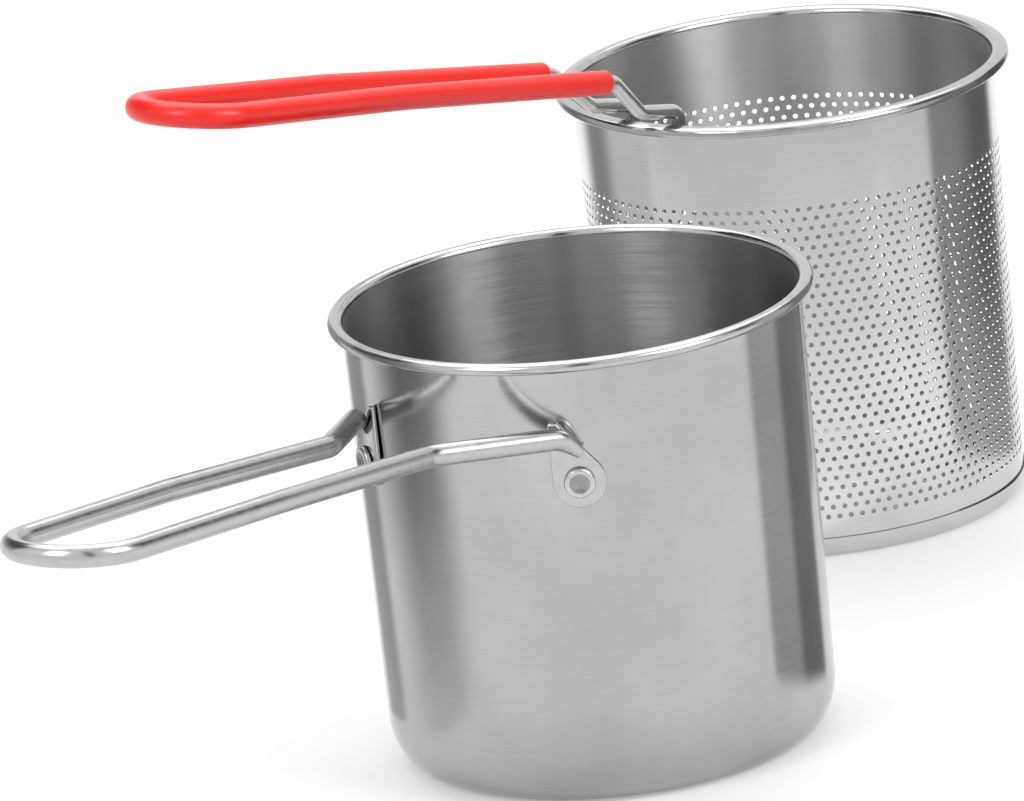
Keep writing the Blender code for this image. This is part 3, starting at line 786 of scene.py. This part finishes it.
# %% Basket sizes and cells
BASKET_HEIGHT = 0.1491
BASKET_RIM = 0.0747
BASKET_TOP = 0.0693
BASKET_FOOT = 0.0666
BASKET_SHEET = 0.0005
BASKET_LIP = (0.0020, 0.0014)            # radii of its bend and its curl
PAN_HEIGHT = 0.0066                      # the pan's edge, which clasps the wall from outside
PAN_SHEET = 0.0005
PAN_CORNER = 0.0050
HOLE_RADIUS = 0.00084
HOLES_ROUND = 112                        # in each row
HOLE_ROWS = 33
ROW_STEP = 0.00328
FIRST_ROW = 0.0138                       # height of the lowest row
HOLE_CORNERS = 8
SHARP = math.radians(50)                 # where the sheet turns by more than this, its edge stays sharp


def at_basket(points):
    """Turned about Z and moved to where the basket stands."""
    c, s = math.cos(BASKET_TURN), math.sin(BASKET_TURN)
    x, y, z = points[:, 0], points[:, 1], points[:, 2]
    return np.stack([c * x - s * y, s * x + c * y, z], axis=1) + BASKET_PLACE


def basket_wall(height):
    return BASKET_FOOT + (BASKET_TOP - BASKET_FOOT) * height / BASKET_HEIGHT


def bridge(outer_angles, inner_angles):
    """Triangles between two rings. Each edge joins the other ring's corner that lies next to its middle.

    Where two middles are level, one side takes the corner before and the other the corner after, so the triangles
    still meet.
    """
    def middles(angles):
        return (angles + np.append(angles[1:], angles[0] + math.tau)) / 2
    outer_middle, inner_middle = middles(outer_angles), middles(inner_angles)
    k, m = np.arange(len(outer_angles)), np.arange(len(inner_angles))
    at_inner = np.searchsorted(inner_middle, outer_middle) % len(m)
    at_outer = np.searchsorted(outer_middle, inner_middle, side="right") % len(k)
    return (np.stack([k, np.roll(k, -1), at_inner + len(k)], axis=1),
            np.stack([m + len(k), at_outer, np.roll(m, -1) + len(k)], axis=1))


cell_step = math.tau / HOLES_ROUND
cell_corners = np.array([(0.5, 0.5), (0, 0.5), (-0.5, 0.5), (-0.5, -0.5), (0, -0.5), (0.5, -0.5)])
hole_angles = (np.arange(HOLE_CORNERS) + 0.5) * math.tau / HOLE_CORNERS
hole_reach = HOLE_RADIUS / math.cos(math.pi / HOLE_CORNERS) ** 0.5
hole_ring = polar(hole_reach, hole_angles)
cell_width = cell_step * basket_wall(FIRST_ROW + HOLE_ROWS * ROW_STEP / 2)
brick_angles = np.arctan2(cell_corners[:, 1] * ROW_STEP, cell_corners[:, 0] * cell_width) % math.tau
brick_triangles = np.concatenate(bridge(brick_angles, hole_angles))
print("one brick has", len(brick_triangles), "triangles on each side of the sheet")

# %% [markdown]
# Every cell is laid out twice, on the outer and on the inner face of the sheet, and a ring of small quads joins the
# two round each hole. Each corner also stores its distance from the middle of its own hole as a UV. The material
# reads it, because a punch leaves a soft, rolled-in edge round each hole.


# %% Punched sheet
def punched(outer, inner, triangles):
    """Cells (n, m, 3) on both faces. The last corners of each are its hole's ring, which quads join."""
    count, size = outer.shape[:2]
    base = (np.arange(count) * size)[:, None, None]
    front = (base + triangles).reshape(-1, 3)
    back = front[:, ::-1] + count * size
    ring = size - HOLE_CORNERS + np.arange(HOLE_CORNERS)
    after = np.roll(ring, -1)
    quad = np.stack([ring, after, after + count * size, ring + count * size], axis=1)
    rims = (base + quad).reshape(-1, 4)
    return np.concatenate([outer.reshape(-1, 3), inner.reshape(-1, 3)]), np.concatenate([front, back]), rims


def joined(parts):
    """Several (points, faces) parts with their faces renumbered into one list of points."""
    points, blocks, start = [], [], 0
    for part_points, part_faces in parts:
        points.append(part_points)
        blocks += [block + start for block in part_faces]
        start += len(part_points)
    kinds = [[block for block in blocks if block.shape[1] == size] for size in (4, 3)]
    return np.concatenate(points), [np.concatenate(kind) for kind in kinds if kind]


FAR = 9.0                                # UV of the plain sheet, far from any hole
column = np.arange(HOLES_ROUND)
row = np.arange(HOLE_ROWS)
half_step = (2 * column[None, :] + row[:, None] % 2)[:, :, None]
brick_turn = ((half_step + np.round(2 * cell_corners[:, 0]).astype(int)) % (2 * HOLES_ROUND)) * cell_step / 2
row_height = FIRST_ROW + row * ROW_STEP
brick_height = np.broadcast_to(
    row_height[:, None, None] + cell_corners[:, 1] * ROW_STEP, brick_turn.shape)
hole_turn = half_step * cell_step / 2 + hole_ring[:, 0] / basket_wall(row_height)[:, None, None]
hole_height = np.broadcast_to(row_height[:, None, None] + hole_ring[:, 1], hole_turn.shape)
cell_size = len(cell_corners) + HOLE_CORNERS
turns = np.concatenate([brick_turn, hole_turn], axis=2).reshape(-1, cell_size)
heights = np.concatenate([brick_height, hole_height], axis=2).reshape(-1, cell_size)


def on_wall(turn, height, depth):
    radius = basket_wall(height) - depth
    return np.stack([radius * np.cos(turn), radius * np.sin(turn), height], axis=-1)


wall_points, wall_triangles, wall_rims = punched(
    on_wall(turns, heights, 0), on_wall(turns, heights, BASKET_SHEET), brick_triangles)
local = np.concatenate([cell_corners * (cell_width, ROW_STEP), hole_ring]) / HOLE_RADIUS
wall_uv = np.tile(local, (2 * len(turns), 1))
band_top = FIRST_ROW + (HOLE_ROWS - 0.5) * ROW_STEP
band_foot = FIRST_ROW - 0.5 * ROW_STEP
half = BASKET_SHEET / 2


def between(first, last, steps):
    return np.linspace(first, last, steps + 1)[:, None]


climb = between(band_top, BASKET_HEIGHT - half - BASKET_LIP[0], 2)[:-1]
lip = lip_line(BASKET_TOP - half, BASKET_RIM, BASKET_HEIGHT, *BASKET_LIP, BASKET_SHEET, steps=(9, 15))
straight = spaced(np.concatenate([np.hstack([basket_wall(climb) - half, climb]), lip[:1]]), WALL_STEP)
upper = sheet_section(np.concatenate([straight, lip[1:]]), BASKET_SHEET)
upper[0] = (basket_wall(band_top) - BASKET_SHEET, band_top)
upper[-1] = (basket_wall(band_top), band_top)
drop = between(band_foot, PAN_CORNER, 3)
lower = np.concatenate([np.hstack([basket_wall(drop) - BASKET_SHEET, drop]),
                        np.hstack([basket_wall(drop), drop])[::-1]])
print("plain band above the holes in mm:", round(1000 * (BASKET_HEIGHT - band_top), 1))

# %% [markdown]
# The plain bands above and below are turned like the pot, with two points for each hole, so that they meet the cells'
# corners. Where the sheet's ends are welded, the lip is drawn in and down a little.

# %% Basket wall
KINK = (0.0007, 0.0004)                  # in and down
KINK_WIDTH = 0.0022
KINK_START = 0.0004                      # outside the wall


def seam_kink(shape):
    """Each point of the lip moves by KINK times exp(-(distance from the seam / width) squared)."""
    reach = np.hypot(shape[:, 0], shape[:, 1])
    turn = np.arctan2(shape[:, 1], shape[:, 0])
    away = ((turn - SEAM_TURN + math.pi) % math.tau - math.pi) * reach / KINK_WIDTH
    in_lip = np.clip((reach - BASKET_TOP - KINK_START) / (BASKET_RIM - BASKET_TOP), 0, 1)
    share = np.exp(-away ** 2) * in_lip
    moved = shape.copy()
    moved[:, :2] *= (1 - KINK[0] * share / np.maximum(reach, BASKET_FOOT))[:, None]
    moved[:, 2] -= KINK[1] * share
    return moved


parts = [(wall_points, [wall_triangles, wall_rims])]
zones = [np.repeat([OUTSIDE, INSIDE], len(wall_points) // 2)]
for section, order in ((upper, -1), (lower, 1)):
    band_points, band_faces = turned(section, 2 * HOLES_ROUND)
    parts.append((seam_kink(band_points), [band_faces[:, ::order]]))
    zones.append(np.tile(sheet_zones(section, BASKET_HEIGHT, BASKET_TOP), 2 * HOLES_ROUND + 1))
points, faces = joined(parts)
uv = np.full((len(points), 2), FAR)
uv[:len(wall_uv)] = wall_uv
make_piece("perforated_wall", at_basket(points), faces, [punched_steel, punched_inside_shaded, lip_steel], "basket",
           ["basket_wall"], uv=uv, zones=np.concatenate(zones), sharp=SHARP)

# %% [markdown]
# ## The base pan
#
# The basket stands in a shallow pressed pan that closes its foot. The pan's floor drains through the same holes.
# They are laid in rings here, six more holes in each ring, so that they keep their spacing. Neighbouring rings have
# different counts, so a thin strip of triangles joins them.

# %% Base pan
PAN_RINGS = 17
PAN_STEP = 0.0034
RING_GAP = 0.00015                       # half the width of the strip between two rings
PAN_TURNS = 216
PAN_SIDE = basket_wall(PAN_HEIGHT) + FIT + PAN_SHEET / 2


def pan_ring(number):
    """Cells of one ring: corners half a step in and out, and half a cell to either side, of each hole."""
    count = 6 * number
    reach = PAN_STEP / 2 - RING_GAP
    turn = math.tau / count
    middle = number * PAN_STEP
    corners = np.array([(reach, 0.5), (reach, -0.5), (-reach, -0.5), (-reach, 0.5)])
    at = np.arange(count)
    corner_index = (at[:, None] + (corners[:, 1] + 0.5).astype(int)) % count
    corner_turn = corner_index * turn
    ring_turn = (at[:, None] + 0.5) * turn + hole_ring[:, 0] / middle
    angle = np.concatenate([corner_turn, ring_turn], axis=1)
    radius = np.broadcast_to(middle + np.concatenate([corners[:, 0], hole_ring[:, 1]]), angle.shape)
    square = np.arctan2(corners[:, 0], corners[:, 1] * middle * turn) % math.tau
    order = np.argsort(square)
    lookup = np.concatenate([order, len(corners) + np.arange(HOLE_CORNERS)])
    triangles = lookup[np.concatenate(bridge(square[order], hole_angles))]
    return polar(radius, angle), triangles


def raised(flat, height):
    return np.concatenate([flat, np.full((*flat.shape[:-1], 1), height)], axis=-1)


def both_faces(flat):
    return np.concatenate([raised(flat, PAN_SHEET), raised(flat, 0.0)])


def ring_points(radius, count):
    return polar(radius, np.arange(count) * math.tau / count)


def ring_strip(inner_radius, inner_count, outer_radius, outer_count):
    """Both faces of the strip between two circles that have different numbers of corners."""
    flat = np.concatenate([ring_points(outer_radius, outer_count), ring_points(inner_radius, inner_count)])
    outer_a, inner_a = (np.arange(n) * math.tau / n for n in (outer_count, inner_count))
    triangles = np.concatenate(bridge(outer_a, inner_a))
    return both_faces(flat), [triangles, triangles[:, ::-1] + len(flat)]


pan_parts = []
for number in range(1, PAN_RINGS + 1):
    flat, triangles = pan_ring(number)
    cells, *cell_faces = punched(raised(flat, 0.0), raised(flat, PAN_SHEET), triangles)
    pan_parts.append((cells, cell_faces))
    edge = number * PAN_STEP + PAN_STEP / 2
    outer_count = PAN_TURNS if number == PAN_RINGS else 6 * number + 6
    pan_parts.append(ring_strip(edge - RING_GAP, 6 * number, edge + RING_GAP, outer_count))
centre = np.concatenate([ring_points(PAN_STEP / 2 + RING_GAP, 6), [(0, 0)]])
fan = np.stack([np.arange(6), np.roll(np.arange(6), -1), np.full(6, 6)], axis=1)
pan_parts.append((both_faces(centre), [fan, fan[:, ::-1] + len(centre)]))
pan_edge = PAN_RINGS * PAN_STEP + PAN_STEP / 2 + RING_GAP
corner_bend = PAN_CORNER - PAN_SHEET / 2
pan_middle = np.concatenate([
    [(pan_edge, PAN_SHEET / 2)],
    arc((PAN_SIDE - corner_bend, PAN_CORNER), corner_bend, corner_bend, -90, 0, 10),
    [(PAN_SIDE, PAN_HEIGHT)],
])
pan_section = sheet_section(pan_middle, PAN_SHEET)
pan_section[[0, -1]] = [(pan_edge, PAN_SHEET), (pan_edge, 0)]
pan_points, pan_faces = turned(pan_section, PAN_TURNS)
pan_parts.append((pan_points, [pan_faces[:, ::-1]]))
points, faces = joined(pan_parts)
make_piece("base_pan", at_basket(points), faces, [pan_steel], "basket", ["basket_base_pan"],
           sharp=SHARP)

# %% [markdown]
# ## The basket's handle
#
# A 4.8 mm rod hooks over the lip, is welded to the inside of the wall, steps up and runs out as a long grip. The grip
# wears the red sleeve. Rod and sleeve follow the same path, so their corners are written once.

# %% Basket handle
BASKET_ROD = 0.0024
HOOK = (0.0240, 0.0096, 0.0025)          # how far down, half the distance between the two, and up over the rim
HOOK_SEAT = 0.0140                       # the upright run along the wall
HOOK_LEAN = 0.0020                       # how far the hook then leans in
HEEL = (0.0826, 0.0105, 0.0075)          # out from the axis, half the width, and up over the rim, to GRIP_END
STEP = (0.0970, 0.0131, 0.0220)
GRIP_BOW = (0.2000, 0.0173, 0.0457)
GRIP_END = (0.2924, 0.0200, 0.0645)
GRIP_BENDS = [0.0100, 0.0050, 0.0090, 0.0060, 0.2000, 0.0190]
SLEEVE = 0.0040                          # its outer radius
SLEEVE_START = 0.0047                    # how far past the STEP corner it begins

hook_z = BASKET_HEIGHT - HOOK[0]
hook_x = math.sqrt((basket_wall(hook_z) - BASKET_SHEET - 2 * FIT - BASKET_ROD) ** 2 - HOOK[1] ** 2)
grip_half = np.array([
    (-hook_x, HOOK[1], hook_z),
    (-hook_x, HOOK[1], hook_z + HOOK_SEAT),
    (HOOK_LEAN - hook_x, HOOK[1], BASKET_HEIGHT + HOOK[2]),
    *((-out, wide, BASKET_HEIGHT + lift) for out, wide, lift in (HEEL, STEP, GRIP_BOW, GRIP_END)),
])
grip_path = rod_path(grip_half, GRIP_BENDS)
rings, ring_faces = rod_surface(grip_path, BASKET_ROD)
make_piece("basket_handle", at_basket(rings), [ring_faces], [hook_steel], "basket", ["basket_handle_rod"])

step_corner, bow_corner, end_corner = grip_half[-3:]
start = step_corner + unit(bow_corner - step_corner) * SLEEVE_START
sleeve_path = rod_path([start, bow_corner, end_corner], GRIP_BENDS[-2:])
rings, ring_faces = sleeve_surface(sleeve_path, SLEEVE, BASKET_ROD + FIT)
sleeve = make_piece("red_sleeve", at_basket(rings), [ring_faces], [red_plastic], "basket",
                    ["basket_handle_sleeve"])
sleeve.visible_glossy = False            # pot and basket were lit one by one, so no steel reflects the red

# %% [markdown]
# ## Studio
#
# Bare steel has hardly any colour of its own. What it shows is the room. So the room is a plain white one with a
# pale floor and three soft lamps. The floor keeps the object's shadow. The picture's background is white, so the
# room is white for the camera and for reflections too, and a calm grey for the light that falls on the object. The
# lamps fade with distance, so the floor also glows a little, and more the further it is from the object.

# %% Floor and world
FLOOR_SIZE = 12.0
FLOOR_TONE = "#E6E6E6"
FLOOR_ROUGHNESS = 0.9
FLOOR_DEPTH = 0.0002                     # below the foot, so that the two faces don't flicker
FLOOR_LIFT = (0.28, 0.60)                # its glow near the object and far off
LIT_REACH = (0.7, 2.8)                   # metres from the middle, between which the glow grows
ROOM_LIGHT = 0.45


def shown_directly(tree):
    """1 for rays from the camera, in a reflection and through glass, else 0."""
    path = add_node(tree, "LightPath")
    first = add_node(tree, "Math", {
        0: path.outputs["Is Camera Ray"], 1: path.outputs["Is Glossy Ray"]}, operation="MAXIMUM")
    return add_node(tree, "Math", {0: first, 1: path.outputs["Is Transmission Ray"]}, operation="MAXIMUM")


floor_material, floor_tree, floor_shader = new_material("pale studio floor")
feed(floor_tree, floor_shader, {
    "Base Color": linear(FLOOR_TONE), "Roughness": FLOOR_ROUGHNESS, "Specular IOR Level": 0.0})
floor_place = add_node(floor_tree, "TexCoord").outputs["Object"]
floor_reach = add_node(floor_tree, "VectorMath", {0: floor_place}, operation="LENGTH")
lift_there = ramp(floor_tree, floor_reach, *LIT_REACH, *FLOOR_LIFT)
floor_lift = multiplied(floor_tree, shown_directly(floor_tree), lift_there)
floor_glow = add_node(floor_tree, "Emission", {"Strength": floor_lift})
floor_sum = add_node(floor_tree, "AddShader", {0: floor_shader, 1: floor_glow})
feed(floor_tree, floor_tree.nodes["Material Output"], {"Surface": floor_sum})


def stage_quad(name, corners, material):
    """A flat four-cornered stage card."""
    mesh = bpy.data.meshes.new(name)
    mesh.from_pydata([tuple(corner) for corner in corners], [], [(0, 1, 2, 3)])
    mesh.materials.append(material)
    card = add_object(name, mesh)
    return card


floor_corners = [(x * FLOOR_SIZE / 2, y * FLOOR_SIZE / 2, -FLOOR_DEPTH)
                 for x, y in ((-1, -1), (1, -1), (1, 1), (-1, 1))]
stage_quad("floor", floor_corners, floor_material)

world = bpy.data.worlds.new("white studio")
bpy.context.scene.world = world
world.use_nodes = True
world_tree = world.node_tree
world_light = world_tree.nodes["Background"]
world_light.inputs["Color"].default_value = (ROOM_LIGHT, ROOM_LIGHT, ROOM_LIGHT, 1)
white = add_node(world_tree, "Background", {"Color": (1, 1, 1, 1), "Strength": 1.0})
room = add_node(world_tree, "MixShader", {0: shown_directly(world_tree), 1: world_light, 2: white})
feed(world_tree, world_tree.nodes["World Output"], {"Surface": room})

bpy.context.scene.view_settings.view_transform = "Standard"
print("floor in metres:", FLOOR_SIZE, "view:", bpy.context.scene.view_settings.view_transform)

# %% Lamps
AIM = np.array([0.08, 0.02, 0.08])
VIEW_AHEAD = np.array([math.sin(-CAMERA_HEADING), math.cos(-CAMERA_HEADING), 0])
VIEW_RIGHT = np.array([math.cos(-CAMERA_HEADING), -math.sin(-CAMERA_HEADING), 0])


def seen_from_camera(right, ahead, up):
    """A point near the object, given as the picture shows it: to the right, further away and up."""
    return AIM + VIEW_RIGHT * right + VIEW_AHEAD * ahead + np.array([0, 0, up])


def soft_lamp(name, place, width, height, watts):
    """A softbox that faces AIM, with its width level."""
    lamp = bpy.data.lights.new(name, "AREA")
    lamp.shape = "RECTANGLE"
    lamp.size, lamp.size_y, lamp.energy = width, height, watts
    back = unit(place - AIM)
    side = unit(np.cross((0, 0, 1), back))
    up = np.cross(back, side)
    turn = Matrix(np.stack([side, up, back], axis=1).tolist()).to_4x4()
    turn.translation = place
    add_object(name, lamp).matrix_world = turn


soft_lamp("key_softbox", seen_from_camera(0.9, -0.75, 0.9), width=0.6, height=0.8, watts=7.5)
soft_lamp("fill_softbox", seen_from_camera(-0.8, -0.85, 0.9), width=0.5, height=0.7, watts=4.5)
soft_lamp("top_softbox", seen_from_camera(-0.1, 0.65, 1.3), width=1.6, height=1.4, watts=13.0)
print("lamps: key, fill and top")

# %% [markdown]
# A white room alone would make the steel look like paper. Product photographers stand cards round a shiny thing, and
# the steel shows them as soft upright bands. Here they are hidden from the camera, throw no shadow and show on one
# side only. Near cards draw bands on the outside walls, which look down at the floor. Far ones, which stand higher,
# draw them in the pot's inside and in the rims and rods.

# %% Cards
def card_material(name, tones, turn, feather, rise, power):
    """A glow that turns from one tone to the other along U, and fades out at its sides and foot.

    Its power goes from the first number at the foot to the second at the top. From behind it is clear.
    """
    material, tree, _ = new_material(name)
    spot = add_node(tree, "UVMap", uv_map="surface")
    axes = add_node(tree, "SeparateXYZ", {"Vector": spot})
    tone = blended(tree, ramp(tree, axes.outputs["X"], *turn), linear(tones[0]), linear(tones[1]))
    strength = ramp(tree, axes.outputs["Y"], 0.0, 1.0, *power, "LINEAR")
    glow = add_node(tree, "Emission", {"Color": tone, "Strength": strength})
    to_middle = add_node(tree, "Math", {0: axes.outputs["X"], 1: 0.5}, operation="SUBTRACT")
    from_middle = add_node(tree, "Math", {0: to_middle}, operation="ABSOLUTE")
    inside = ramp(tree, from_middle, 0.5 - feather, 0.5, 1.0, 0.0)
    above = ramp(tree, axes.outputs["Y"], *rise)
    behind = add_node(tree, "NewGeometry").outputs["Backfacing"]
    in_front = add_node(tree, "Math", {0: 1.0, 1: behind}, operation="SUBTRACT")
    opaque = multiplied(tree, multiplied(tree, inside, above), in_front)
    clear = add_node(tree, "BsdfTransparent")
    card = add_node(tree, "MixShader", {0: opaque, 1: clear, 2: glow})
    feed(tree, tree.nodes["Material Output"], {"Surface": card})
    return material


def stand_card(name, place, facing, width, level, tones, feather, turn=(0.0, 1.0), rise=(-0.1, 0.0),
               power=(1.0, 1.0)):
    """An upright card: place and facing are (right, ahead), as the picture shows them from the pot's middle.

    Level is the height of its foot and top. Turn is where along U one tone becomes the other, and rise where up V
    the card fades in.
    """
    facing = np.array(facing) / math.hypot(*facing)
    out = VIEW_RIGHT * facing[0] + VIEW_AHEAD * facing[1]
    along = np.cross((0, 0, 1), out) * width / 2
    middle = VIEW_RIGHT * place[0] + VIEW_AHEAD * place[1]
    low, high = (np.array([0, 0, z]) for z in level)
    card = stage_quad(name, [middle - along + low, middle + along + low, middle + along + high,
                             middle - along + high], card_material(name, tones, turn, feather, rise, power))
    card.data.uv_layers.new(name="surface").data.foreach_set("uv", [0, 0, 1, 0, 1, 1, 0, 1])
    card.visible_camera = False
    card.visible_diffuse = False
    card.visible_shadow = False


NEAR = (0.0, 0.18)                       # foot and top of the near cards, as in the next two
NEAR_BASKET = (0.0, 0.16)
FAR_OFF = (0.15, 1.0)

stand_card("card_right_of_pot", (0.100, -0.018), (-0.90, -0.43), 0.066, (0.004, 0.18), ("#848484", "#BEBEBE"),
           0.10, turn=(0.40, 0.52), rise=(0.0, 0.04), power=(1.0, 1.35))
stand_card("card_left_of_pot", (-0.120, -0.045), (0.95, -0.31), 0.115, NEAR, ("#A6A6A6", "#808080"),
           0.42, turn=(0.2, 0.8), rise=(-0.3, 0.65))
stand_card("card_left_edge", (-0.098, 0.030), (0.80, -0.60), 0.046, NEAR, ("#B4B4B4", "#B4B4B4"),
           0.25, rise=(-1.0, 0.5))
stand_card("card_right_of_basket", (0.1886, 0.2005), (-0.93, -0.37), 0.112, NEAR, ("#6A6A6A", "#929292"),
           0.14, turn=(0.3, 0.6), rise=(-0.8, 0.50))
stand_card("card_beside_basket", (0.195, 0.118), (-0.98, 0.20), 0.090, NEAR_BASKET, ("#F4F4F4", "#F4F4F4"),
           0.08, power=(1.25, 0.60))
stand_card("card_left_of_basket", (-0.0496, 0.2020), (0.79, -0.61), 0.132, NEAR, ("#D0D0D0", "#909090"),
           0.16, turn=(0.60, 0.76))
stand_card("card_before_basket", (0.0864, 0.1256), (0.28, 0.96), 0.34, NEAR_BASKET, ("#F4F4F4", "#F4F4F4"),
           0.10, power=(1.25, 0.66))
stand_card("card_far_left", (-0.61, 0.43), (0.82, -0.57), 1.00, FAR_OFF, ("#383838", "#383838"),
           0.12, rise=(-0.15, 0.45))
stand_card("card_far_right", (0.85, 0.15), (-1, 0), 0.90, FAR_OFF, ("#505050", "#505050"),
           0.30, rise=(-0.15, 0.50))
stand_card("card_by_camera", (0.02, -1.0), (0, 1), 0.26, (0.20, 1.7), ("#141414", "#141414"),
           0.30, rise=(-0.10, 0.25))
